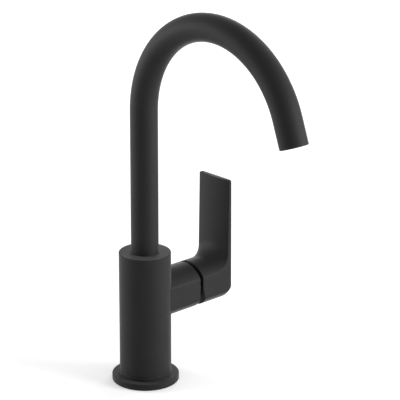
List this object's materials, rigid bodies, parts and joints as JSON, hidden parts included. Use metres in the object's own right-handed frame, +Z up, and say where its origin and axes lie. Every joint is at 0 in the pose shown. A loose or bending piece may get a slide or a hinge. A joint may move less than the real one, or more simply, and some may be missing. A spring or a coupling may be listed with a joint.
{
  "type": "basin mixer tap",
  "caption": "Tall single-lever basin mixer: slim cylindrical body on a round flange, side lever with an upright blade, and a high round swivel spout with an aerator.",
  "frame": {"origin": "on the body's axis at deck level, the centre of the tap hole", "axes": "+Z up along the body, the spout reaches towards -Y, the lever stands on the +X side"},
  "size_m": [0.1088, 0.2043, 0.3243],
  "materials": {
    "black_finish": "fine matt black powder coat",
    "seal_rubber": "smooth black rubber",
    "brass": "turned",
    "white_acetal": "moulded",
    "dark_acetal": "moulded",
    "steel": "turned stainless",
    "disc_ceramic": "lapped",
    "black_plug": "fine matt"
  },
  "bodies": {
    "root": {"body": "black_finish", "base_flange": "black_finish", "base_seal": "seal_rubber", "spout_stop_screw": "steel", "cartridge_housing": "white_acetal", "cartridge_base": "white_acetal", "cartridge_seals": "seal_rubber", "fixed_disc": "disc_ceramic", "cartridge_nut": "brass", "dome_cap": "black_finish"},
    "spout": {"spout_tube": "black_finish", "spout_foot": "brass", "spout_glide_rings": "white_acetal", "spout_orings": "seal_rubber", "aerator_housing": "dark_acetal", "aerator_comb": "dark_acetal", "aerator_sieve": "steel", "flow_regulator": "white_acetal", "aerator_seal": "seal_rubber"},
    "mixing_rotor": {"rotor": "dark_acetal", "stem_pin": "steel"},
    "valve_disc": {"moving_disc": "disc_ceramic", "disc_carrier": "dark_acetal"},
    "lever": {"stem": "brass", "lever": "black_finish", "lever_screw": "steel", "screw_plug": "black_plug"}
  },
  "joints": [
    {"name": "spout_swivel", "type": "hinge", "parent": "root", "child": "spout", "pos_m": [0, 0, 0.1], "axis": [0, 0, 1], "range_deg": [-60, 60]},
    {"name": "lever_mix", "type": "hinge", "parent": "root", "child": "mixing_rotor", "pos_m": [0.034, 0, 0.071], "axis": [1, 0, 0], "range_deg": [-45, 45]},
    {"name": "lever_lift", "type": "hinge", "parent": "mixing_rotor", "child": "lever", "pos_m": [0.034, 0, 0.071], "axis": [0, 1, 0], "range_deg": [0, 18]},
    {"name": "disc_slide", "type": "slide", "parent": "mixing_rotor", "child": "valve_disc", "axis": [0, 0, 1], "range_m": [0, 0.0029]}
  ],
  "couplings": [
    {"joint": "disc_slide", "follows": "lever_lift", "m_per_rad": 0.009}
  ]
}
